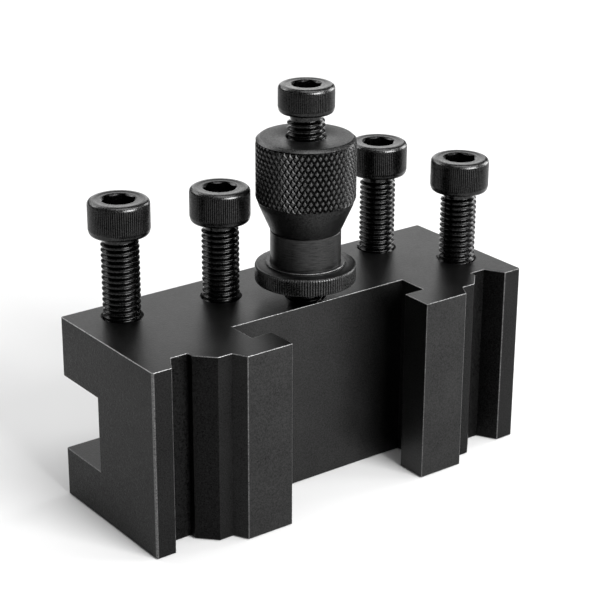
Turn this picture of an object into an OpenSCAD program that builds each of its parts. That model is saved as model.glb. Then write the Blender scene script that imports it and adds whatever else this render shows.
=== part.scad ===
// Quick change tool holder for turning and facing tools.
// A hardened steel block with a T-slot and two V-grooves at the front, which slide on a
// tool post, and an open slot at the back, where cap screws clamp a tool shank.
// A long cap screw in the web carries a flanged nut, which sets the height, and a knurled
// nut that locks it.
// The origin is under the middle of the block, +X runs along it, +Y goes to the tool slot.

/* [Block] */
// Length of the block
block_l = 120; // [112:1:170]
// Depth from the end lands to the back face
block_d = 44; // [42:0.5:60]
// Thickness of the jaw under the tool slot
lower_jaw = 13.5; // [10:0.5:24]
// Thickness of the jaw over the tool slot, where the screws are threaded
upper_jaw = 16.5; // [14:0.5:26]
// Break on the block's edges
edge_break = 0.5; // [0.2:0.1:0.7]
// Break on the block's four upright corners
corner_break = 1.2; // [0.8:0.1:3]

/* [Tool slot] */
// Height of the slot, a 20 mm shank with room to slide
slot_h = 21; // [16:0.5:33]
// Depth of the slot from the back face
slot_depth = 17.4; // [15:0.2:22]

/* [T-slot] */
// Width of the throat between the lips
throat_w = 43.8; // [36:0.2:50]
// How far the pocket reaches behind each lip
pocket_reach = 6.2; // [3:0.1:8]
// Thickness of the lips
lip_t = 9; // [6:0.1:10]
// Depth of the pocket behind the lips
pocket_d = 8.8; // [6:0.1:10]

/* [V-grooves] */
// How far the main lands stand proud of the end lands
land_proud = 5.2; // [3:0.1:7]
// Width of each main land
land_w = 13.7; // [10:0.1:15]
// Slope of the flank beside each main land, from the land's plane
flank_angle = 61; // [58:1:80]
// How far the ledge between flank and groove stands proud of the end lands
ledge_proud = 1.3; // [0.5:0.1:2]
// Width of the ledge
ledge_w = 4.1; // [3:0.1:5]
// Slope of the V-way, the groove's inner wall, from the land's plane
way_angle = 46; // [42:1:60]
// Height of the relief step between the V-way and the groove's floor
step_h = 1.9; // [0.8:0.1:3]
// Depth of the groove under the end lands
groove_depth = 5.3; // [3:0.1:6]
// Width of the groove's floor
groove_w = 4.9; // [3:0.1:5.5]
// Slope of the groove's outer wall, from the land's plane
wall_angle = 60; // [55:1:70]

/* [Screws] */
// Outer diameter of the thread
screw_d = 10; // [8:0.5:10]
// Pitch of the thread
pitch = 1.5; // [1:0.25:2]
// Depth of the thread ridges
thread_h = 0.85; // [0.4:0.05:1]
// Diameter of the knurled heads
head_d = 16; // [14.5:0.1:16.5]
// Height of the heads
head_h = 9; // [8:0.1:11]
// Width of the hexagon socket across its flats
socket_af = 8; // [5:0.5:9]
// Teeth round each head
head_teeth = 90; // [50:1:110]
// Running clearance between a thread and its hole, on the radius
thread_gap = 0.05; // [0.02:0.01:0.09]
// Width of the countersink at the mouth of the block's threaded holes
countersink = 0.55; // [0.3:0.05:1]
// Width of the countersink at the mouth of the nuts' threaded holes
nut_countersink = 0.3; // [0.2:0.05:0.6]

/* [Clamp screws] */
// Length of the clamp screws under their heads
clamp_len = 35; // [32:1:40]
// Height of the first head's underside over the block
raise_1 = 22.7; // [18:0.1:26]
// Height of the second head's underside over the block
raise_2 = 21.4; // [18:0.1:26]
// Height of the third head's underside over the block
raise_3 = 22.3; // [18:0.1:26]
// Height of the fourth head's underside over the block
raise_4 = 20.3; // [16:0.1:24]
// First screw from the left end
end_1 = 13.4; // [10:0.1:20]
// Second screw from the left end
end_2 = 41.7; // [34:0.1:42]
// Third screw from the right end
end_3 = 21.5; // [19:0.1:34]
// Fourth screw from the right end
end_4 = 8.7; // [8:0.1:10]
// How far the first screw stands behind the slot's middle
shift_1 = 0.2; // [-2:0.1:1.5]
// How far the second screw stands forward of the slot's middle
shift_2 = 3.5; // [0:0.1:3.6]
// How far the third screw stands behind the slot's middle
shift_3 = 1.4; // [-2:0.1:1.5]
// How far the fourth screw stands forward of the middle of the web
shift_4 = 2.7; // [0:0.1:2.8]

/* [Height adjuster] */
// Length of the long screw under its head
stud_len = 80; // [76:1:95]
// Length of the long screw that is held in the block
stud_grip = 29.4; // [22:0.1:33]
// Diameter of the long screw's low head
stud_head_d = 14.7; // [14:0.1:16]
// Height of the long screw's head
stud_head_h = 7.2; // [6.5:0.1:10]
// Width of the long screw's socket across its flats
stud_socket_af = 7; // [5:0.5:8]
// How far the long screw stands forward of the middle of the web
stud_shift = 0.6; // [0:0.1:1]
// Diameter of the flange
flange_d = 26.8; // [24:0.2:28]
// Thickness of the flange
flange_t = 4.7; // [3:0.1:6]
// Height of the flange over the block
flange_lift = 4.6; // [2:0.1:8]
// Teeth round the flange
flange_teeth = 120; // [60:1:140]
// Height of the ring at the foot of the neck
foot_h = 0.6; // [0.3:0.1:1]
// Width of the ring at the foot of the neck
foot_w = 1.1; // [0.5:0.1:1.5]
// Diameter of the neck
neck_d = 18.7; // [16:0.1:20]
// Height of the flanged nut
flange_nut_h = 14.2; // [10:0.1:16]
// Diameter of the knurled nut
nut_d = 26.3; // [23:0.1:28]
// Height of the cone under the knurled nut
cone_h = 8.1; // [5:0.1:10]
// Drop of the short bevel between knurl and cone
bevel_h = 1.1; // [0.5:0.1:2]
// Inward reach of that bevel
bevel_w = 0.75; // [0.3:0.05:1.5]
// Length of the knurled band
knurl_h = 16.1; // [12:0.1:17]
// Depth of the diamond knurl
knurl_depth = 0.45; // [0.2:0.05:0.7]
// Diamonds round the nut
knurl_count = 52; // [36:1:60]
// Angle of the knurl's grooves from the axis
knurl_angle = 30; // [25:1:40]
// Bevel round the top of the knurled nut
nut_bevel = 0.9; // [0.4:0.1:1.2]
// Gap between the two nuts, which meet face to face
seat_gap = 0.05; // [0.02:0.01:0.1]

/* [Hidden] */
$fn = 64;
eps = 0.01;
beyond = 5;
steel_dark = "#2b2c2e";
steel_black = "#1d1e20";
steel_nut = "#38393b";

// Heights and depths of the block
block_h = lower_jaw + slot_h + upper_jaw;
total_d = land_proud + block_d;
y_land = -total_d / 2;
y_end = y_land + land_proud;
y_ledge = y_end - ledge_proud;
y_groove = y_end + groove_depth;
y_step = y_groove - step_h;
y_lip = y_land + lip_t;
y_wall = y_lip + pocket_d;
y_back = total_d / 2;
y_slot = y_back - slot_depth;
web_y = (y_wall + y_slot) / 2;
slot_y = y_back - slot_depth / 2;

// Stations along the front, from the middle outwards
x_throat = throat_w / 2;
x_pocket = x_throat + pocket_reach;
x_land = x_throat + land_w;
x_flank = x_land + (land_proud - ledge_proud) / tan(flank_angle);
x_ledge = x_flank + ledge_w;
x_way = x_ledge + (ledge_proud + groove_depth - step_h) / tan(way_angle);
x_floor = x_way + groove_w;
x_outer = x_floor + groove_depth / tan(wall_angle);
x_end = block_l / 2;

// How far the breaks of two sides cross where they meet in an inner corner
corner_lap = 0.12;

// Threaded holes
hole_r = screw_d / 2 + thread_gap;
drill_slope = tan(31);
tip_gap = 0.3;

// Screw proportions
root_r = screw_d / 2 - thread_h;
neck_plain = pitch;
tip_bevel = thread_h;
knurl_tooth = 0.22;
head_band = 1.1;
head_round = 1.3;
head_lip = 0.5;
socket_bevel = 0.3;
// Depth of a socket as a share of the head's height
socket_share = 0.55;
// The round core under a toothed band is a hair smaller than the teeth's roots
core_gap = 0.03;
// Height over which a knurled band runs out into its core at each end
run_out = 0.35;

// Places and heights of the clamp screws
clamp_x = [-x_end + end_1, -x_end + end_2, x_end - end_3, x_end - end_4];
clamp_y = [slot_y + shift_1, slot_y - shift_2, slot_y + shift_3, web_y - shift_4];
clamp_raise = [raise_1, raise_2, raise_3, raise_4];

// Height adjuster
stud_y = web_y - stud_shift;
stud_raise = stud_len - stud_grip;
flange_z = block_h + flange_lift;
nut_z = flange_z + flange_nut_h + seat_gap;
nut_h = cone_h + knurl_h + nut_bevel;

// Outline of half the block, from the middle of the T-slot's wall to the middle of the back.
// Each entry is a point and the break on its corner.
half_outline = [
  [[x_pocket, y_wall], 0],
  [[x_pocket, y_lip], 0],
  [[x_throat, y_lip], edge_break],
  [[x_throat, y_land], edge_break],
  [[x_land, y_land], edge_break],
  [[x_flank, y_ledge], 0],
  [[x_ledge, y_ledge], edge_break],
  [[x_way, y_step], 0],
  [[x_way, y_groove], 0],
  [[x_floor, y_groove], 0],
  [[x_outer, y_end], edge_break],
  [[x_end, y_end], corner_break],
  [[x_end, y_back], corner_break]
];
function mirrored(corners) = [for (i = [len(corners) - 1 : -1 : 0])
  [[-corners[i][0][0], corners[i][0][1]], corners[i][1]]];
block_corners = concat(half_outline, mirrored(half_outline));

function unit(v) = v / norm(v);
// The outline with each corner that has a break cut off by that much along both sides
function broken(corners) = [for (i = [0 : len(corners) - 1])
  let (n = len(corners),
       p = corners[i][0],
       b = corners[i][1],
       before = corners[(i + n - 1) % n][0],
       after = corners[(i + 1) % n][0])
  each b > 0 ? [p + b * unit(before - p), p + b * unit(after - p)] : [p]];
block_outline = broken(block_corners);

// A tooth outline with n teeth between two radii
function teeth(n, r_tip, r_root) = [for (i = [0 : 2 * n - 1])
  let (r = i % 2 == 0 ? r_tip : r_root, a = 180 * i / n)
  [r * cos(a), r * sin(a)]];

// Wedge that breaks by c the edge that a side from p to q makes with the top of a solid,
// which is on the side's left. Past an outer corner it runs right out, and at an inner corner
// the two sides' wedges cross a little, by unequal amounts.
module edge_wedge(p, q, c, past_p, past_q) {
  along = unit(q - p);
  run = norm(q - p);
  turn = atan2(along[1], along[0]);
  start = past_p ? -beyond : -corner_lap;
  finish = past_q ? run + beyond : run + 2 * corner_lap;
  translate([p[0], p[1], 0])
    rotate([0, 0, turn])
      translate([start, 0, 0])
        rotate([90, 0, 90])
          linear_extrude(height = finish - start)
            polygon([[c, 0], [-c, 0], [-c, -2 * c], [0, -c]]);
}

function cross2(a, b) = a[0] * b[1] - a[1] * b[0];
// True where the outline, which runs with its solid on the left, turns left
function convex(points, i) =
  let (n = len(points),
       a = points[i] - points[(i + n - 1) % n],
       b = points[(i + 1) % n] - points[i])
  cross2(a, b) > 0;
module top_edge_breaks(points, c) {
  n = len(points);
  for (i = [0 : n - 1])
    edge_wedge(points[i], points[(i + 1) % n], c, convex(points, i), convex(points, (i + 1) % n));
}

// Tapped hole that goes down from z, with a countersunk mouth.
// A blind hole ends in the cone that a drill leaves.
module tapped_hole(x, y, z, depth, blind) {
  translate([x, y, z]) {
    translate([0, 0, -depth])
      cylinder(r = hole_r, h = depth + eps);
    translate([0, 0, -countersink])
      cylinder(r1 = hole_r, r2 = hole_r + countersink + eps, h = countersink + eps);
    if (blind)
      translate([0, 0, -depth - hole_r * drill_slope])
        cylinder(r1 = 0, r2 = hole_r, h = hole_r * drill_slope);
  }
}

module holder_body() {
  color(steel_dark)
  difference() {
    linear_extrude(height = block_h)
      polygon(block_outline);
    translate([0, 0, block_h])
      top_edge_breaks(block_outline, edge_break);
    mirror([0, 0, 1])
      top_edge_breaks(block_outline, edge_break);
    tool_slot();
    slot_end_breaks();
    mirror([1, 0, 0])
      slot_end_breaks();
    for (i = [0 : 2])
      tapped_hole(clamp_x[i], clamp_y[i], block_h, upper_jaw + eps, false);
    tapped_hole(clamp_x[3], clamp_y[3], block_h, clamp_len + tip_gap, true);
    tapped_hole(0, stud_y, block_h, stud_grip + tip_gap, true);
  }
}

// The slot that takes the tool's shank, open at both ends and at the back
module tool_slot() {
  mouth = [[y_slot, lower_jaw], [y_back - edge_break, lower_jaw],
           [y_back + eps, lower_jaw - edge_break - eps],
           [y_back + eps, lower_jaw + slot_h + edge_break + eps],
           [y_back - edge_break, lower_jaw + slot_h], [y_slot, lower_jaw + slot_h]];
  translate([-x_end - beyond, 0, 0])
    rotate([90, 0, 90])
      linear_extrude(height = block_l + 2 * beyond)
        polygon(mouth);
}

// Breaks on the floor, wall and roof edges of the slot, where it opens at the right end
module slot_end_breaks() {
  path = [[y_back, lower_jaw], [y_slot, lower_jaw],
          [y_slot, lower_jaw + slot_h], [y_back, lower_jaw + slot_h]];
  translate([x_end, 0, 0])
    rotate([90, 0, 90])
      for (i = [0 : 2])
        edge_wedge(path[i], path[i + 1], edge_break, i == 0, i == 2);
}

// Half section of a threaded shank that goes down from z = 0, as a stack of ridges
function shank_section(length) =
  let (ridges = floor((length - neck_plain - tip_bevel - pitch / 4) / pitch))
  concat(
    [[0, head_lip], [root_r, head_lip], [root_r, -neck_plain]],
    [for (i = [0 : ridges - 1]) each [
      [screw_d / 2, -neck_plain - (i + 0.45) * pitch],
      [screw_d / 2, -neck_plain - (i + 0.55) * pitch],
      [root_r, -neck_plain - (i + 1) * pitch]]],
    [[root_r, -length], [0, -length]]);

// Half section of a head, up from z = 0, inside its knurled band
function head_section(d, h) =
  let (r = d / 2 - knurl_tooth - core_gap, shoulder = 6)
  concat(
    [[0, 0], [r - head_lip, 0], [r, head_lip]],
    [for (i = [0 : shoulder])
      let (a = 90 * i / shoulder)
      [r - head_round * (1 - cos(a)), h - head_round * (1 - sin(a))]],
    [[0, h]]);

// Socket head cap screw with a head of diameter d and height h, whose underside is at z = 0,
// and a hexagon socket af wide
module cap_screw(length, d, h, af) {
  flat_r = af / 2;
  corner_r = flat_r / cos(30);
  socket_depth = socket_share * h;
  drill_r = flat_r - socket_bevel;
  mouth_h = corner_r - drill_r + socket_bevel;
  difference() {
    union() {
      rotate_extrude()
        polygon(shank_section(length));
      rotate_extrude()
        polygon(head_section(d, h));
      translate([0, 0, head_band])
        linear_extrude(height = h - head_band - head_round)
          polygon(teeth(head_teeth, d / 2, d / 2 - knurl_tooth));
    }
    translate([0, 0, h - socket_depth])
      cylinder(r = corner_r, h = socket_depth + eps, $fn = 6);
    translate([0, 0, h - socket_depth - drill_r * drill_slope])
      cylinder(r1 = 0, r2 = drill_r, h = drill_r * drill_slope);
    translate([0, 0, h - mouth_h])
      cylinder(r1 = drill_r, r2 = corner_r + socket_bevel, h = mouth_h);
  }
}

module clamp_screw(i) {
  color(steel_black)
  translate([clamp_x[i], clamp_y[i], block_h + clamp_raise[i]])
    cap_screw(clamp_len, head_d, head_h, socket_af);
}

module height_screw() {
  color(steel_black)
  translate([0, stud_y, block_h + stud_raise])
    cap_screw(stud_len, stud_head_d, stud_head_h, stud_socket_af);
}

// Threaded hole right through a nut of height h, countersunk at both ends
module nut_hole(h) {
  translate([0, 0, -eps])
    cylinder(r = hole_r, h = h + 2 * eps);
  translate([0, 0, -eps])
    cylinder(r1 = hole_r + nut_countersink + eps, r2 = hole_r, h = nut_countersink + eps);
  translate([0, 0, h - nut_countersink])
    cylinder(r1 = hole_r, r2 = hole_r + nut_countersink + eps, h = nut_countersink + eps);
}

// Nut with a wide toothed flange, which rests on the tool post, and a plain neck
module flange_nut() {
  rim = flange_d / 2;
  root = rim - knurl_tooth;
  core = root - core_gap;
  bevel = edge_break;
  section = [
    [0, 0], [core - bevel, 0], [core, bevel], [core, flange_t - bevel],
    [core - bevel, flange_t], [neck_d / 2 + foot_w, flange_t],
    [neck_d / 2 + foot_w, flange_t + foot_h], [neck_d / 2, flange_t + foot_h],
    [neck_d / 2, flange_nut_h], [0, flange_nut_h]];
  color(steel_nut)
  translate([0, stud_y, flange_z])
    difference() {
      union() {
        rotate_extrude()
          polygon(section);
        translate([0, 0, bevel])
          linear_extrude(height = flange_t - 2 * bevel)
            polygon(teeth(flange_teeth, rim, root));
      }
      nut_hole(flange_nut_h);
    }
}

// Diamond knurl: a drum whose side is a field of pyramids between two sets of helical grooves.
// Points alternate between groove crossings and pyramid tips, round the drum and up it.
// At each end the field runs out into a plain ring, which is hidden in the drum's core.
module knurled_drum(r, h, depth, count, angle) {
  columns = 2 * count;
  step = 180 / count;
  field = h - 2 * run_out;
  rows = max(2, 2 * round(field * tan(angle) * count / (2 * PI * r)));
  ring_r = r - 2 * depth;
  ring = [for (k = [0 : columns - 1]) [ring_r * cos(k * step), ring_r * sin(k * step)]];
  points = concat(
    [for (p = ring) [p[0], p[1], core_gap]],
    [for (j = [0 : rows]) for (k = [0 : columns - 1])
      let (rr = (k + j) % 2 == 0 ? r - depth : r)
      [rr * cos(k * step), rr * sin(k * step), run_out + field * j / rows]],
    [for (p = ring) [p[0], p[1], h - core_gap]]);
  side = [for (j = [0 : rows + 1]) for (k = [0 : columns - 1])
    let (a = j * columns + k,
         b = j * columns + (k + 1) % columns,
         c = a + columns,
         d = b + columns)
    each (k + j) % 2 == 1 ? [[a, d, b], [a, c, d]] : [[a, c, b], [b, c, d]]];
  floor_face = [[for (k = [0 : columns - 1]) k]];
  top_face = [[for (k = [columns - 1 : -1 : 0]) (rows + 2) * columns + k]];
  polyhedron(points = points, faces = concat(side, floor_face, top_face), convexity = 4);
}

// Knurled lock nut with a conical lower end as wide as the neck that it meets
module lock_nut() {
  r = nut_d / 2;
  core = r - knurl_depth - core_gap;
  section = [
    [0, 0], [neck_d / 2, 0], [r - bevel_w, cone_h - bevel_h], [core, cone_h],
    [core, nut_h - nut_bevel], [core - nut_bevel, nut_h], [0, nut_h]];
  color(steel_nut)
  translate([0, stud_y, nut_z])
    difference() {
      union() {
        rotate_extrude()
          polygon(section);
        translate([0, 0, cone_h])
          knurled_drum(r, knurl_h, knurl_depth, knurl_count, knurl_angle);
      }
      nut_hole(nut_h);
    }
}

holder_body();
clamp_screw(0);  // clamp_screw_1
clamp_screw(1);  // clamp_screw_2
clamp_screw(2);  // clamp_screw_3
clamp_screw(3);  // clamp_screw_4
height_screw();
flange_nut();
lock_nut();
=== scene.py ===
import math

import bmesh
import bpy
from mathutils import Matrix, Vector


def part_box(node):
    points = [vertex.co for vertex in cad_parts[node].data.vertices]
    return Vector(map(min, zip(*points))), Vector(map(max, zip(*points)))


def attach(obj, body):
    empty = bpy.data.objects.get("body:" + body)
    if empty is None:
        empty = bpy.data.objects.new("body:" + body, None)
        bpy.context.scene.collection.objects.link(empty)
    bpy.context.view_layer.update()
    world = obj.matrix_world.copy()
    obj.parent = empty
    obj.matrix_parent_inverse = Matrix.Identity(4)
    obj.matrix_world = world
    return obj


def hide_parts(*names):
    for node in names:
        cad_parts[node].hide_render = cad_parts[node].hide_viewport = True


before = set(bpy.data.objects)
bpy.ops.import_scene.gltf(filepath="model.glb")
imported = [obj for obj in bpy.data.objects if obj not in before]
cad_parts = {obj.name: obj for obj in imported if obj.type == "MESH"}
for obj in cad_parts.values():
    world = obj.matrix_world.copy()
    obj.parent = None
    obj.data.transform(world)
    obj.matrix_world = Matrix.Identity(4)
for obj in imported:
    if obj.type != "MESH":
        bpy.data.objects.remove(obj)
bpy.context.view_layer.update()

# The block is one piece of steel. It is milled with the T-slot and V-grooves that slide on
# the tool post and with the slot for the tool's shank, then ground on its outside and
# blackened. Its edges are broken, and they shine a little brighter.
MM = 0.001
BLOCK_L, BLOCK_D, BLOCK_H = 120.0, 49.2, 51.0
JAW_H, SLOT_H, SLOT_DEEP = 13.5, 21.0, 17.4
THROAT_W, POCKET_REACH, LIP_T, POCKET_DEEP = 43.8, 6.2, 9.0, 8.8
LAND_PROUD, LAND_W, LEDGE_PROUD, LEDGE_W = 5.2, 13.7, 1.3, 4.1
GROOVE_DEEP, GROOVE_W, STEP_H = 5.3, 4.9, 1.9
FLANK_SLOPE, WAY_SLOPE, WALL_SLOPE = (math.tan(math.radians(angle)) for angle in (61, 46, 60))
BACK_Y, LAND_Y, END_X = BLOCK_D / 2, -BLOCK_D / 2, BLOCK_L / 2
SLOT_Y, SLOT_TOP = BACK_Y - SLOT_DEEP, JAW_H + SLOT_H
LIP_Y = LAND_Y + LIP_T
WALL_Y = LIP_Y + POCKET_DEEP
END_Y = LAND_Y + LAND_PROUD
LEDGE_Y, GROOVE_Y = END_Y - LEDGE_PROUD, END_Y + GROOVE_DEEP
STEP_Y = GROOVE_Y - STEP_H
THROAT_X = THROAT_W / 2
POCKET_X, LAND_X = THROAT_X + POCKET_REACH, THROAT_X + LAND_W
FLANK_X = LAND_X + (LAND_PROUD - LEDGE_PROUD) / FLANK_SLOPE
LEDGE_X = FLANK_X + LEDGE_W
WAY_X = LEDGE_X + (LEDGE_PROUD + GROOVE_DEEP - STEP_H) / WAY_SLOPE
FLOOR_X = WAY_X + GROOVE_W
OUTER_X = FLOOR_X + GROOVE_DEEP / WALL_SLOPE
CORNER_BREAK, EDGE_BREAK, BREAK_STEPS, SHARP = 0.55, 0.4, 3, 50
HOLE_R, COUNTERSINK, HOLE_STEPS, POINT_SLOPE = 5.05, 0.55, 72, 0.6
CLAMP_LEN, TIP_GAP, THROUGH = 35.0, 0.3, 2.0
MILL_D, MILL_OVER = 30.0, 10.0
MERGE, SPIN_MERGE, TOUCH, NEAR = 0.001, 0.002, 0.01, 0.1
FLAT_ANGLE, UPRIGHT = 0.001, 5.0
CLOUD_SIZE, STREAK_SIZE, STREAK_TURN, SPECK_TIMES = 9.0, 0.2, 0.7, 1.9
SHADOW_IN, SHADOW_OUT, SHADOW_LEVEL = 11.0, 15.5, 0.08
GROUND, EASED, RECESSED_DARKER, GROOVE_AND_END_SHADE, RUBBED_AND_LIT, PAINTED_SHADOW_TOP = range(6)


class Shade:
    """One output in a finish's nodes. Sums can be written with it as with a number."""

    def __init__(self, tree, socket=None):
        self.tree = tree
        self.socket = socket

    def make(self, kind, settings=None, values=None):
        """Adds a node, sets it, then links or sets its inputs, and gives its first output."""
        node = self.tree.nodes.new("ShaderNode" + kind)
        for name, value in (settings or {}).items():
            setattr(node, name, value)
        for name, value in (values or {}).items():
            if isinstance(value, Shade):
                self.tree.links.new(value.socket, node.inputs[name])
            else:
                node.inputs[name].default_value = value
        return Shade(self.tree, node.outputs[0] if node.outputs else None)

    def out(self, name):
        """Another output of the same node."""
        return Shade(self.tree, self.socket.node.outputs[name])

    def maths(self, operation, *terms):
        """A sum of numbers and outputs."""
        return self.make("Math", {"operation": operation}, dict(enumerate(terms)))

    def __add__(self, other):
        return self.maths("ADD", self, other)

    def __sub__(self, other):
        return self.maths("SUBTRACT", self, other)

    def __rsub__(self, other):
        return self.maths("SUBTRACT", other, self)

    def __mul__(self, other):
        return self.maths("MULTIPLY", self, other)

    __radd__ = __add__
    __rmul__ = __mul__


def noise(start, where, size, detail, rough):
    """Noise with features of a size in millimetres, around 0.5."""
    return start.make(
        "TexNoise",
        {"noise_dimensions": "3D"},
        {"Vector": where, "Scale": 1 / (size * MM), "Detail": detail, "Roughness": rough},
    )


def grey(start, level):
    """A grey colour from a level."""
    return start.make(
        "CombineColor", {"mode": "RGB"}, {"Red": level, "Green": level, "Blue": level}
    )


def bare_finish(name):
    """A material with no nodes yet, and the start from which they are made."""
    finish = bpy.data.materials.new(name)
    finish.use_nodes = True
    finish.node_tree.nodes.clear()
    return finish, Shade(finish.node_tree)


def tool_marks(start, where, centre):
    """Fine lines round a turned piece, which are longer along their way than across it."""
    centred = start.make(
        "Mapping", {}, {"Vector": where, "Location": (-centre[0] * MM, -centre[1] * MM, 0)}
    )
    apart = start.make("SeparateXYZ", {}, {"Vector": centred})
    x, y = apart.out("X"), apart.out("Y")
    radius = start.maths("SQRT", x * x + y * y)
    around = start.maths("ARCTAN2", x, y * -1) * (STREAK_TURN * MM)
    ring = start.make("CombineXYZ", {}, {"X": radius, "Y": around, "Z": apart.out("Z")})
    return noise(start, ring, STREAK_SIZE, 3.0, 0.7)


def painted_shadow_share(start, where, centre):
    """How much of its brightness a surface keeps round a painted shadow."""
    spot = [place * MM for place in centre]
    far = start.make("VectorMath", {"operation": "DISTANCE"}, {0: where, 1: spot})
    return start.make(
        "MapRange",
        {"interpolation_type": "SMOOTHSTEP"},
        {
            "Value": far.out("Value"), "From Min": SHADOW_IN * MM, "From Max": SHADOW_OUT * MM,
            "To Min": SHADOW_LEVEL,
        },
    )


def steel(name, shade, rough, coarse, deep, mottle=1.0, lines=None, shadow_at=None):
    """Blackened steel. The oxide is a fine dark grain that is a little uneven in its depth.
    shade is the grey, coarse the grain's size in mm, deep the height of its bump, mottle
    the strength of its specks, lines the middle of a turned piece, whose tool marks run
    round it, and shadow_at the middle of a painted shadow."""
    finish, start = bare_finish(name)
    where = start.make("TexCoord").out("Object")
    grain = noise(start, where, coarse, 3.0, 0.6)
    cloud = noise(start, where, CLOUD_SIZE, 4.0, 0.6)
    speck = noise(start, where, coarse * SPECK_TIMES, 2.0, 0.5)
    height = grain * 0.6 + speck * 0.4
    fleck = (grain - 0.5) * mottle * 3.0 + (speck - 0.5) * mottle * 0.8
    if lines:
        streak = tool_marks(start, where, lines)
        height = height * 0.3 + streak * 0.7
        fleck = fleck * 0.3 + (streak - 0.5) * mottle * 3.4
    level = start.maths("MAXIMUM", (fleck + cloud * 0.4 + 0.8) * shade, shade * 0.25)
    # A painted shadow: the grey is darker round a given place.
    if shadow_at:
        level = level * painted_shadow_share(start, where, shadow_at)
    bump = start.make(
        "Bump", {}, {"Strength": 1.0, "Distance": deep * MM, "Height": height}
    )
    shader = start.make(
        "BsdfPrincipled",
        {},
        {
            "Base Color": grey(start, level),
            "Metallic": 1.0,
            "Roughness": grain * (0.7 * mottle) + cloud * 0.1 + (rough - 0.05 - 0.35 * mottle),
            "Normal": bump,
        },
    )
    start.make("OutputMaterial", {}, {"Surface": shader})
    return finish


def mesh_of(solid, name):
    """A mesh with a solid's faces. The solid itself is let go."""
    data = bpy.data.meshes.new(name)
    solid.to_mesh(data)
    solid.free()
    return data


def in_scene(name, data):
    """An object in the scene, which lies at the origin."""
    thing = bpy.data.objects.new(name, data)
    bpy.context.scene.collection.objects.link(thing)
    return thing


def milled(work, cutter):
    """Cuts one solid out of another, as a mill or a drill does, and gives what is left."""
    blanks = [in_scene("blank", mesh_of(solid, "blank")) for solid in (work, cutter)]
    cut = blanks[0].modifiers.new("cut", "BOOLEAN")
    cut.operation = "DIFFERENCE"
    cut.solver = "EXACT"
    cut.object = blanks[1]
    left = bmesh.new()
    left.from_object(blanks[0], bpy.context.evaluated_depsgraph_get())
    for blank in blanks:
        bpy.data.objects.remove(blank)
    return left


def turned(outline, steps, closed=True):
    """Turns an outline of (radius, height) points about the Z axis, as on a lathe."""
    solid = bmesh.new()
    points = [solid.verts.new((r, 0, z)) for r, z in outline]
    for a, b in zip(points, points[1:] + points[:1] if closed else points[1:]):
        solid.edges.new((a, b))
    bmesh.ops.spin(
        solid, geom=solid.verts[:] + solid.edges[:], cent=(0, 0, 0), axis=(0, 0, 1),
        angle=2 * math.pi, steps=steps, use_merge=True, use_duplicate=False,
    )
    bmesh.ops.remove_doubles(solid, verts=solid.verts, dist=SPIN_MERGE)
    bmesh.ops.recalc_face_normals(solid, faces=solid.faces)
    return solid


def raised(solid, height):
    """Draws a flat face up into a solid."""
    grown = bmesh.ops.extrude_face_region(solid, geom=solid.faces[:], use_keep_orig=True)
    tops = [v for v in grown["geom"] if isinstance(v, bmesh.types.BMVert)]
    bmesh.ops.translate(solid, vec=(0, 0, height), verts=tops)
    bmesh.ops.recalc_face_normals(solid, faces=solid.faces)


def broken(solid, edges, width):
    """Takes the sharpness off some edges with a small round, which is left brighter."""
    rounds = bmesh.ops.bevel(
        solid, geom=edges, affect="EDGES", offset=width, segments=BREAK_STEPS, profile=0.5,
        material=-1, clamp_overlap=True,
    )["faces"]
    for face in rounds:
        face.material_index = EASED


def sharp(edge):
    """True for an edge that stands out from the block."""
    return edge.is_manifold and edge.calc_face_angle_signed() > math.radians(SHARP)


def at_end(edge):
    """True for an upright edge at an end of the block."""
    a, b = (v.co for v in edge.verts)
    return min(abs(a.x), abs(b.x)) > END_X - TOUCH and abs(a.z - b.z) > UPRIGHT


def finished(solid, name, body, node, finishes, crease=40):
    """Makes a solid in millimetres a piece that rides on a body and stands for a node."""
    bmesh.ops.scale(solid, vec=(MM, MM, MM), verts=solid.verts)
    for face in solid.faces:
        face.smooth = True
    for edge in solid.edges:
        edge.smooth = edge.calc_face_angle(math.pi) < math.radians(crease)
    data = mesh_of(solid, name)
    for finish in finishes:
        data.materials.append(finish)
    piece = in_scene(name, data)
    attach(piece, body)
    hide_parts(node)
    return piece


def middle(node):
    """The middle of a screw or nut, seen from above, and its lowest and highest points."""
    low, high = (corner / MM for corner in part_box(node))
    return (low.x + high.x) / 2, (low.y + high.y) / 2, low.z, high.z


def off_axis(place):
    """How far a place is from the Z axis."""
    return math.hypot(place.x, place.y)


block = bmesh.new()
front = [
    (0, WALL_Y), (POCKET_X, WALL_Y), (POCKET_X, LIP_Y), (THROAT_X, LIP_Y), (THROAT_X, LAND_Y),
    (LAND_X, LAND_Y), (FLANK_X, LEDGE_Y), (LEDGE_X, LEDGE_Y), (WAY_X, STEP_Y), (WAY_X, GROOVE_Y),
    (FLOOR_X, GROOVE_Y), (OUTER_X, END_Y), (END_X, END_Y), (END_X, BACK_Y), (0, BACK_Y),
]
half = block.faces.new([block.verts.new((x, y, 0)) for x, y in front])
bmesh.ops.mirror(
    block, geom=block.verts[:] + block.edges[:] + [half], axis="X", merge_dist=MERGE
)
bmesh.ops.dissolve_limit(
    block, angle_limit=FLAT_ANGLE, verts=block.verts, edges=block.edges, delimit={"NORMAL"}
)
bmesh.ops.recalc_face_normals(block, faces=block.faces)
raised(block, BLOCK_H)
tool_slot = bmesh.new()
bmesh.ops.create_cube(tool_slot, size=1)
mill = (BLOCK_L + 2 * MILL_OVER, MILL_D, SLOT_H)
bmesh.ops.scale(tool_slot, vec=mill, verts=tool_slot.verts)
bmesh.ops.translate(
    tool_slot, vec=(0, SLOT_Y + MILL_D / 2, JAW_H + SLOT_H / 2), verts=tool_slot.verts
)
block = milled(block, tool_slot)
bmesh.ops.remove_doubles(block, verts=block.verts, dist=MERGE)
bmesh.ops.dissolve_limit(block, angle_limit=FLAT_ANGLE, verts=block.verts, edges=block.edges)
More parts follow.
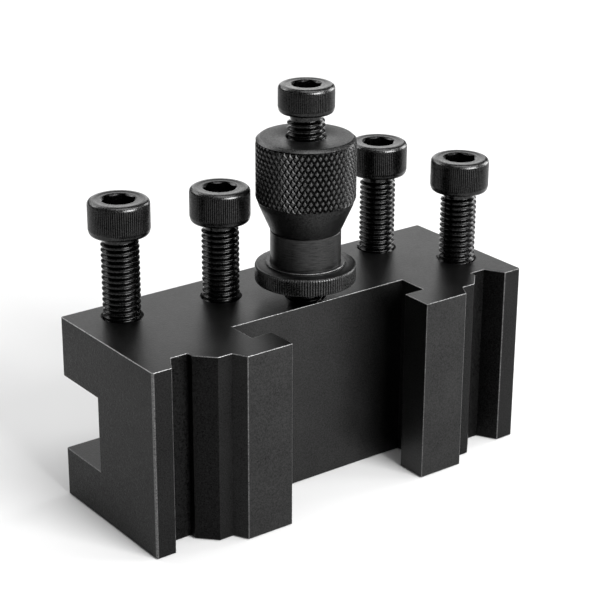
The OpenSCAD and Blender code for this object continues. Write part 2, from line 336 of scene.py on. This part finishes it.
broken(block, [e for e in block.edges if sharp(e) and at_end(e)], CORNER_BREAK)
broken(block, [e for e in block.edges if sharp(e)], EDGE_BREAK)
stud_x, stud_y, stud_tip, stud_top = middle("height_screw")
# The first three holes run out into the tool slot. The other two are blind, with the cone
# that a drill leaves.
drill_point = HOLE_R * POINT_SLOPE
clamp_floor = BLOCK_H - CLAMP_LEN - TIP_GAP
holes = [(f"clamp_screw_{number}", SLOT_TOP - THROUGH, 0) for number in (1, 2, 3)]
holes += [("clamp_screw_4", clamp_floor, drill_point)]
holes += [("height_screw", stud_tip - TIP_GAP, drill_point)]
for node, hole_floor, point in holes:
    x, y = middle(node)[:2]
    drill = [
        (0, BLOCK_H + 1), (HOLE_R + COUNTERSINK + 1, BLOCK_H + 1),
        (HOLE_R, BLOCK_H - COUNTERSINK), (HOLE_R, hole_floor), (0, hole_floor - point),
    ]
    hole = turned(drill, HOLE_STEPS, closed=False)
    bmesh.ops.translate(hole, vec=(x, y, 0), verts=hole.verts)
    block = milled(block, hole)
for face in block.faces:
    place = face.calc_center_median()
    across, at_top = abs(place.x), place.z > BLOCK_H - 1
    end_face = across > END_X - NEAR
    if face.material_index == EASED:
        # Upward edges at the top are worn and also take a painted highlight.
        if face.normal.z > 0.2 and at_top:
            face.material_index = RUBBED_AND_LIT
    elif across > LAND_X and abs(face.normal.z) < 0.5:
        # The recessed front faces are drawn darker than the front lands.
        if end_face or place.y < STEP_Y + 5:
            # Painted shade: the V-grooves, their ways and the block's ends take the darkest finish.
            face.material_index = GROOVE_AND_END_SHADE if end_face or LEDGE_X < across < OUTER_X else RECESSED_DARKER
    # The top faces take the finish with the painted shadow under the flange.
    elif face.normal.z > 0.9 and at_top:
        face.material_index = PAINTED_SHADOW_TOP
# The photo is black on the top under the flange, most likely from the flange's shadow. The
# studio's light leaves it paler, so the top itself is drawn darker there. It stands in for
# a shadow, and the photo shows no stain.
block_steels = [
    steel("ground_oxide", 0.031, 0.38, 0.36, 0.045, 0.6),
    steel("eased_edge", 0.1, 0.36, 0.3, 0.008),
    steel("recessed_darker_oxide", 0.016, 0.38, 0.34, 0.04, 0.8),
    steel("groove_and_end_painted_shade", 0.009, 0.42, 0.34, 0.04, 1.3),
    steel("rubbed_and_highlit_edge", 0.24, 0.38, 0.3, 0.008),
    steel("top_with_painted_shadow", 0.031, 0.38, 0.36, 0.045, 0.6, shadow_at=(stud_x, stud_y, BLOCK_H)),
]
body_piece = finished(
    block, "ground_block", "block", "holder_body", block_steels
)
even = body_piece.modifiers.new("even_faces", "WEIGHTED_NORMAL")
even.mode = "FACE_AREA"
even.weight = 100
even.keep_sharp = True

# The clamp screws are alloy steel cap screws, cold headed, with a rolled thread, a straight
# knurl round the head and a punched hexagon socket. Heat and oil leave them black. The first
# three are turned down onto the tool's shank with a hexagon key.
PITCH, CREST_R, ROOT_R, RIDGE_W = 1.5, 5.0, 4.12, 1.12
NECK, RUN_OUT, TIP_IN, INTO_HEAD = 1.5, 0.8, 0.3, 0.4
THREAD_STEPS, THREAD_MERGE = 48, 0.01
HEAD_TEETH, TOOTH_STEPS, TOOTH_DEEP = 90, 4, 0.3
SHOULDER_R, HEAD_DISH, BAND_IN = 1.2, 0.05, 0.12
SOCKET_SHARE, SOCKET_POINT, SOCKET_STEPS = 0.55, 0.55, 72
HEAD_D, HEAD_H, SOCKET_AF, SOCKET_TURNS = 16.0, 9.0, 8.0, (18, 4, 12, 22)
HEAD, THREAD, SHADE_PAINTED, SHOULDER_HIGHLIGHT = range(4)


def threaded(length):
    """A right-hand thread that goes down from inside a head to a bevelled tip."""
    shank = bmesh.new()
    lowest = -length - 2 * PITCH
    ridge = [
        (ROOT_R, -RIDGE_W / 2), (CREST_R - 0.05, -0.15), (CREST_R, -0.09), (CREST_R, 0.02),
        (CREST_R - 0.035, 0.1), (CREST_R - 0.1, 0.16), (ROOT_R + 0.06, RIDGE_W / 2 - 0.03),
        (ROOT_R, RIDGE_W / 2 + 0.1), (ROOT_R, PITCH - RIDGE_W / 2),
    ]
    points = [shank.verts.new((r, 0, lowest + z)) for r, z in ridge]
    for a, b in zip(points, points[1:]):
        shank.edges.new((a, b))
    bmesh.ops.spin(
        shank, geom=shank.verts[:] + shank.edges[:], cent=(0, 0, 0), axis=(0, 0, 1),
        dvec=(0, 0, PITCH / THREAD_STEPS), angle=2 * math.pi, steps=THREAD_STEPS,
        use_duplicate=False,
    )
    for doubling in range(math.ceil(math.log2(length / PITCH + 3))):
        copy = bmesh.ops.duplicate(shank, geom=shank.verts[:] + shank.edges[:] + shank.faces[:])
        bmesh.ops.translate(
            shank, vec=(0, 0, PITCH * 2 ** doubling),
            verts=[v for v in copy["geom"] if isinstance(v, bmesh.types.BMVert)],
        )
    bmesh.ops.remove_doubles(shank, verts=shank.verts, dist=THREAD_MERGE)
    for height, side in ((-length, {"clear_inner": True}), (INTO_HEAD, {"clear_outer": True})):
        bmesh.ops.bisect_plane(
            shank, geom=shank.verts[:] + shank.edges[:] + shank.faces[:], dist=0.0001,
            plane_co=(0, 0, height), plane_no=(0, 0, 1), **side,
        )
    for v in shank.verts:
        reach = min(
            ROOT_R + 0.05 + max(0, -NECK - v.co.z) * RUN_OUT,
            ROOT_R - TIP_IN + (v.co.z + length),
        )
        r = off_axis(v.co)
        if r > reach:
            v.co.x *= reach / r
            v.co.y *= reach / r
    bmesh.ops.holes_fill(shank, edges=[e for e in shank.edges if e.is_boundary], sides=0)
    bmesh.ops.recalc_face_normals(shank, faces=shank.faces)
    return shank


def knurl_straight(solid, teeth, steps, deep, low, high, fade, least):
    """Presses straight grooves into a solid between two heights, outside a least radius.
    The grooves grow shallow over a length, fade, at both ends."""
    for v in solid.verts:
        r = off_axis(v.co)
        if r > least and low < v.co.z < high:
            turn = math.atan2(v.co.y, v.co.x) / (2 * math.pi) * teeth
            groove = max(0, 1 - abs((turn % 1) * steps - steps / 2) / (steps / 4))
            ends = min(1, (v.co.z - low) / fade, (high - v.co.z) / fade)
            pressed = r - deep * groove * max(0, ends)
            v.co.x *= pressed / r
            v.co.y *= pressed / r


def screw_head(width, height, af):
    """A knurled cylinder head with a rounded shoulder and a hexagon socket."""
    r, flat = width / 2, af / 2
    plain = r - BAND_IN
    corner = flat / math.cos(math.radians(30))
    dish = height - HEAD_DISH
    foot = [(0, 0), (r - 0.7, 0), (r - 0.45, 0.08), (plain - 0.08, 0.45), (plain, 0.75)]
    grip = [(plain, 1.15), (r, 1.3), (r, 1.7), (r, height / 2), (r, height - 1.8)]
    shoulder = [(r, height - 1.35)] + [
        (r - SHOULDER_R * (1 - math.cos(a)), height - SHOULDER_R * (1 - math.sin(a)))
        for a in (math.radians(t) for t in (12, 26, 42, 58, 74, 90))
    ]
    top = [(corner + 1.5, height), (corner + 1.35, dish), (corner + 0.3, dish), (0, dish)]
    head = turned(foot + grip + shoulder + top, HEAD_TEETH * TOOTH_STEPS, closed=False)
    knurl_straight(head, HEAD_TEETH, TOOTH_STEPS, TOOTH_DEEP, 1.2, height - 0.9, 0.3, r - 0.3)
    socket = bmesh.new()
    bmesh.ops.create_circle(socket, cap_ends=True, radius=corner, segments=6)
    deep = height * SOCKET_SHARE
    bmesh.ops.translate(socket, vec=(0, 0, height - deep), verts=socket.verts)
    raised(socket, deep + 1)
    head = milled(head, socket)
    mouth = [
        (0, height + 0.3), (corner + 0.45, height + 0.3), (flat - 0.2, height - 0.62),
        (flat - 0.35, height - deep - 0.2), (0, height - deep - flat * SOCKET_POINT),
    ]
    return milled(head, turned(mouth, SOCKET_STEPS, closed=False))


def cap_screw(length, width, height, af):
    """A whole cap screw, with its head's underside at height 0."""
    screw = screw_head(width, height, af)
    # A painted highlight lightens the socket's mouth and the head's upward shoulder.
    for face in screw.faces:
        place = face.calc_center_median()
        across = off_axis(place)
        # Painted shade: the socket's inside takes the darkest finish.
        if across < af * 0.56 and 0.1 < place.z < height - 0.1:
            inside = abs(face.normal.z) < 0.2 or place.z < height / 2
            face.material_index = SHADE_PAINTED if inside else SHOULDER_HIGHLIGHT
        elif across > width / 2 - 1.1 and place.z > height - 1.15 and face.normal.z > 0.1:
            face.material_index = SHOULDER_HIGHLIGHT
    # Painted shade: the thread's flanks take the darkest finish, while its crests and roots stay
    # lighter.
    shank = threaded(length)
    for face in shank.faces:
        face.normal_update()
        face.material_index = SHADE_PAINTED if abs(face.normal.z) > 0.75 else THREAD
    data = mesh_of(shank, "shank")
    screw.from_mesh(data)
    bpy.data.meshes.remove(data)
    return screw


def placed(screw, turn, place):
    """Turns a screw's socket and puts its head's underside at a place."""
    bmesh.ops.rotate(
        screw, cent=(0, 0, 0), matrix=Matrix.Rotation(math.radians(turn), 3, "Z"), verts=screw.verts
    )
    bmesh.ops.translate(screw, vec=place, verts=screw.verts)


screw_steels = [
    steel("oiled_oxide", 0.028, 0.3, 0.3, 0.006),
    steel("thread_oxide", 0.028, 0.22, 0.35, 0.003),
    steel("painted_shade_oxide", 0.008, 0.26, 0.35, 0.003),
    steel("shoulder_highlight_oxide", 0.07, 0.3, 0.3, 0.006),
]
clamp_screw = cap_screw(CLAMP_LEN, HEAD_D, HEAD_H, SOCKET_AF)
for number, turn in enumerate(SOCKET_TURNS, start=1):
    x, y, low, high = middle(f"clamp_screw_{number}")
    screw = clamp_screw.copy()
    placed(screw, turn, (x, y, high - HEAD_H))
    finished(
        screw, f"clamp_cap_screw_{number}", f"clamp_{number}", f"clamp_screw_{number}",
        screw_steels,
    )

# The height screw is a longer cap screw with a low head. It is screwed into the web of the
# block, and the two nuts run on it. Its thread near the block takes the darkest finish, a
# painted shade for the shadow under the flange.
STUD_LEN, STUD_HEAD_D, STUD_HEAD_H, STUD_AF = 80.0, 14.7, 7.2, 7.0
STUD_TURN, STUD_SHADE_H = 8, 6.0
stud = cap_screw(STUD_LEN, STUD_HEAD_D, STUD_HEAD_H, STUD_AF)
placed(stud, STUD_TURN, (stud_x, stud_y, stud_top - STUD_HEAD_H))
# Painted shade: the thread near the block takes the darkest finish.
for face in stud.faces:
    if face.calc_center_median().z < BLOCK_H + STUD_SHADE_H:
        face.material_index = SHADE_PAINTED
finished(stud, "height_cap_screw", "stud", "height_screw", screw_steels)

# The flanged nut is turned from bar, with a straight knurl on its flange for the fingers.
# Its flange rests on the tool post and so sets the height of the tool.
FLANGE_R, FLANGE_T, NECK_R, FOOT_R, FOOT_H = 13.4, 4.7, 9.35, 10.45, 0.6
NUT_H, NUT_SINK, NUT_BREAK = 14.2, 0.3, 0.15
FLANGE_TEETH, RIM_STEPS, RIM_DEEP = 120, 4, 0.26
BLASTED, TURNED, KNURLED, RIM_HIGHLIGHT, VALLEY_SHADE, CREST_WORN_AND_LIT, FOOT_HIGHLIGHT = range(7)
nut_steels = [
    steel("blasted_oxide", 0.029, 0.44, 0.36, 0.05, 1.2),
    steel("turned_oxide", 0.034, 0.36, 0.3, 0.006, 0.7, lines=(stud_x, stud_y)),
    steel("knurled_oxide", 0.042, 0.3, 0.3, 0.006),
    steel("rim_highlight_oxide", 0.075, 0.36, 0.3, 0.006),
    steel("knurl_valley_shade", 0.026, 0.28, 0.3, 0.006),
    steel("knurl_crest_worn_and_lit", 0.055, 0.26, 0.3, 0.006),
    steel("foot_edge_highlight", 0.2, 0.36, 0.3, 0.006),
]
foot_top = FLANGE_T + FOOT_H
flange_outline = [
    (HOLE_R + NUT_SINK, 0), (FLANGE_R - 0.5, 0), (FLANGE_R - 0.15, 0.2), (FLANGE_R, 0.55),
    (FLANGE_R, 0.9), (FLANGE_R, FLANGE_T / 2), (FLANGE_R, FLANGE_T - 0.9),
    (FLANGE_R, FLANGE_T - 0.6), (FLANGE_R - 0.15, FLANGE_T - 0.2), (FLANGE_R - 0.5, FLANGE_T),
    (FOOT_R + 0.1, FLANGE_T), (FOOT_R, FLANGE_T + 0.1), (FOOT_R, foot_top - NUT_BREAK),
    (FOOT_R - NUT_BREAK, foot_top), (NECK_R + 0.1, foot_top), (NECK_R, foot_top + 0.1),
    (NECK_R, NUT_H - NUT_BREAK), (NECK_R - NUT_BREAK, NUT_H), (HOLE_R + NUT_SINK, NUT_H),
    (HOLE_R, NUT_H - NUT_SINK), (HOLE_R, NUT_SINK),
]
flange = turned(flange_outline, FLANGE_TEETH * RIM_STEPS)
knurl_straight(
    flange, FLANGE_TEETH, RIM_STEPS, RIM_DEEP, 0.2, FLANGE_T - 0.2, 0.35, FLANGE_R - 0.3
)
for face in flange.faces:
    place = face.calc_center_median()
    across = off_axis(place)
    if place.z > foot_top:
        face.material_index = TURNED
    elif across > FLANGE_R - 0.5:
        # The knurl's upper rim takes a painted highlight.
        face.material_index = KNURLED if place.z < FLANGE_T - 0.4 else RIM_HIGHLIGHT
    elif FOOT_R - NUT_BREAK < across < FOOT_R and place.z > foot_top - NUT_BREAK:
        # The foot's top break takes a painted highlight.
        face.material_index = FOOT_HIGHLIGHT
x, y, low, high = middle("flange_nut")
bmesh.ops.translate(flange, vec=(x, y, low), verts=flange.verts)
finished(flange, "flanged_nut", "height_nut", "flange_nut", nut_steels)

# The lock nut is turned from bar with a cone below, and its grip is rolled with a diamond
# knurl: two sets of helical grooves that cross and leave small flat-topped diamonds.
DIAMONDS, BANDS = 52, 6
KNURL_R, KNURL_DEEP = 13.15, 0.45
CONE_H, BEVEL_H, BEVEL_W, KNURL_H, LOCK_H = 8.1, 1.1, 0.75, 16.1, 25.1
LOCK_CREASE, POKE_OUT, RIDGED = 35, 0.02, 0.1
knurl_root = KNURL_R - KNURL_DEEP
knurl_low, knurl_high = CONE_H + 0.1, CONE_H + KNURL_H - 0.1
lock_outline = [
    (HOLE_R + NUT_SINK, 0), (NECK_R - 0.15, 0), (NECK_R, 0.12),
    (KNURL_R - BEVEL_W - 0.1, CONE_H - BEVEL_H - 0.2), (KNURL_R - BEVEL_W, CONE_H - BEVEL_H),
]
lock_outline += [
    (knurl_root, knurl_low + (knurl_high - knurl_low) * i / BANDS) for i in range(BANDS + 1)
]
lock_outline += [
    (KNURL_R - 0.1, CONE_H + KNURL_H + 0.15), (KNURL_R - 0.95, LOCK_H - 0.02),
    (KNURL_R - 1.15, LOCK_H), (HOLE_R + NUT_SINK + 0.1, LOCK_H), (HOLE_R + NUT_SINK, LOCK_H - 0.05),
    (HOLE_R, LOCK_H - NUT_SINK), (HOLE_R, NUT_SINK),
]
lock = turned(lock_outline, DIAMONDS)


def knurled_side(slack):
    """The faces of the grip, whose corners lie within a slack of the knurl's root."""
    return [
        f for f in lock.faces
        if all(knurl_low - TOUCH < v.co.z < knurl_high + TOUCH for v in f.verts)
        and all(abs(off_axis(v.co) - knurl_root) < slack for v in f.verts)
    ]


side = knurled_side(TOUCH)
inner = [e for e in lock.edges if all(f in side for f in e.link_faces)]
bmesh.ops.poke(lock, faces=side, offset=POKE_OUT)
bmesh.ops.dissolve_edges(lock, edges=inner, use_verts=False)
field = knurled_side(RIDGED)
# The half diamonds at the ends are raised once, and the whole ones in two steps.
for corners, thickness, depth in ((3, 0.28, 0.25), (4, 0.3, 0.34), (4, 0.12, 0.08)):
    tiles = [f for f in field if len(f.verts) == corners]
    bmesh.ops.inset_individual(
        lock, faces=tiles, thickness=thickness, depth=depth, use_even_offset=True
    )
for face in lock.faces:
    place = face.calc_center_median()
    across = off_axis(place)
    if knurl_low - 0.05 < place.z < knurl_high + 0.05:
        if across > NECK_R:
            # The knurl's valleys take painted shade. Its crests are lighter from wear and from a
            # painted highlight.
            face.material_index = CREST_WORN_AND_LIT if across > knurl_root + 0.3 else VALLEY_SHADE
    elif place.z > knurl_high and across > KNURL_R - 1.2:
        # The top bevel takes a painted highlight.
        face.material_index = RIM_HIGHLIGHT
x, y, low, high = middle("lock_nut")
bmesh.ops.translate(lock, vec=(x, y, low), verts=lock.verts)
finished(
    lock, "diamond_lock_nut", "locking_nut", "lock_nut", nut_steels,
    crease=LOCK_CREASE,
)

# The studio is a sheet of pale paper, with large soft lamps all round and above. Far from the
# holder the paper shines by itself, so it stays as white there as it is by the lamps. The
# camera looks at the holder as the photo does.
FLOOR_HALF, FLOOR_DROP = 8.0, 0.0002
GLOW_NEAR, GLOW_FAR, GLOW = 0.7, 1.8, 0.85
PAPER, PAPER_ROUGH, SURROUND = 0.84, 0.9, 0.07
LIGHT_AIM, LIGHT_AWAY = Vector((0, 0, 0.05)), 1.5
floor = bmesh.new()
bmesh.ops.create_grid(floor, x_segments=1, y_segments=1, size=FLOOR_HALF)
bmesh.ops.translate(floor, vec=(0, 0, -FLOOR_DROP), verts=floor.verts)
floor_piece = in_scene("studio_floor", mesh_of(floor, "studio_floor"))
paper, sheet = bare_finish("pale_paper")
spread = sheet.make(
    "VectorMath", {"operation": "LENGTH"}, {0: sheet.make("TexCoord").out("Object")}
).out("Value")
glow = sheet.make(
    "MapRange", {"interpolation_type": "SMOOTHSTEP"},
    {"Value": spread, "From Min": GLOW_NEAR, "From Max": GLOW_FAR},
)
paper_shader = sheet.make(
    "BsdfPrincipled", {},
    {
        "Base Color": (PAPER, PAPER, PAPER, 1), "Roughness": PAPER_ROUGH,
        "Emission Color": grey(sheet, glow), "Emission Strength": GLOW,
    },
)
sheet.make("OutputMaterial", {}, {"Surface": paper_shader})
floor_piece.data.materials.append(paper)

world = bpy.data.worlds.new("surround")
world.use_nodes = True
world.node_tree.nodes["Background"].inputs["Color"].default_value = (1, 1, 1, 1)
world.node_tree.nodes["Background"].inputs["Strength"].default_value = SURROUND
bpy.context.scene.world = world


def direction(around, above):
    """A step of length 1 from the holder, at angles round from its front and above it."""
    return Vector((
        math.sin(around) * math.cos(above), -math.cos(around) * math.cos(above), math.sin(above)
    ))


def softbox(name, around, above, size, power):
    """A square soft light, at an angle round from the front, which shines on the object."""
    way = direction(math.radians(around), math.radians(above))
    lamp = bpy.data.lights.new(name, "AREA")
    lamp.shape = "SQUARE"
    lamp.size = size
    lamp.energy = power
    light = in_scene(name, lamp)
    light.location = LIGHT_AIM + way * LIGHT_AWAY
    light.rotation_mode = "QUATERNION"
    light.rotation_quaternion = (-way).to_track_quat("-Z", "Y")


softbox("front_light", 10, 24, 0.9, 39)
softbox("right_light", 88, 16, 0.75, 16)
softbox("back_right_light", 145, 16, 0.75, 3)
softbox("back_light", 180, 38, 0.75, 4.5)
softbox("back_left_light", -153, 35, 0.4, 3.5)
softbox("top_light", 20, 80, 1.0, 8)
softbox("edge_light", 54, 50, 0.3, 3)

AZIMUTH, ELEVATION, ROLL = math.radians(-36.778), math.radians(22.022), math.radians(0.3)
DISTANCE, LENS, SENSOR_W = 483.754, 108.72, 36
AIM_H, AIM_LEFT, AIM_UP = 45, 1.13, 4.0954
NEAREST, FARTHEST = 0.01, 20
back = direction(AZIMUTH, ELEVATION)
right = (-back).cross(Vector((0, 0, 1))).normalized()
up = right.cross(-back)
target = Vector((0, 0, AIM_H)) - right * AIM_LEFT + up * AIM_UP
lens = bpy.data.cameras.new("camera")
lens.lens = LENS
lens.sensor_width = SENSOR_W
lens.clip_start, lens.clip_end = NEAREST, FARTHEST
camera = in_scene("camera", lens)
rolled_right = right * math.cos(ROLL) + up * math.sin(ROLL)
rolled_up = up * math.cos(ROLL) - right * math.sin(ROLL)
camera.matrix_world = Matrix.Translation((target + back * DISTANCE) * MM) @ Matrix(
    (rolled_right, rolled_up, back)
).transposed().to_4x4()
bpy.context.scene.camera = camera
bpy.context.scene.view_settings.view_transform = "Standard"
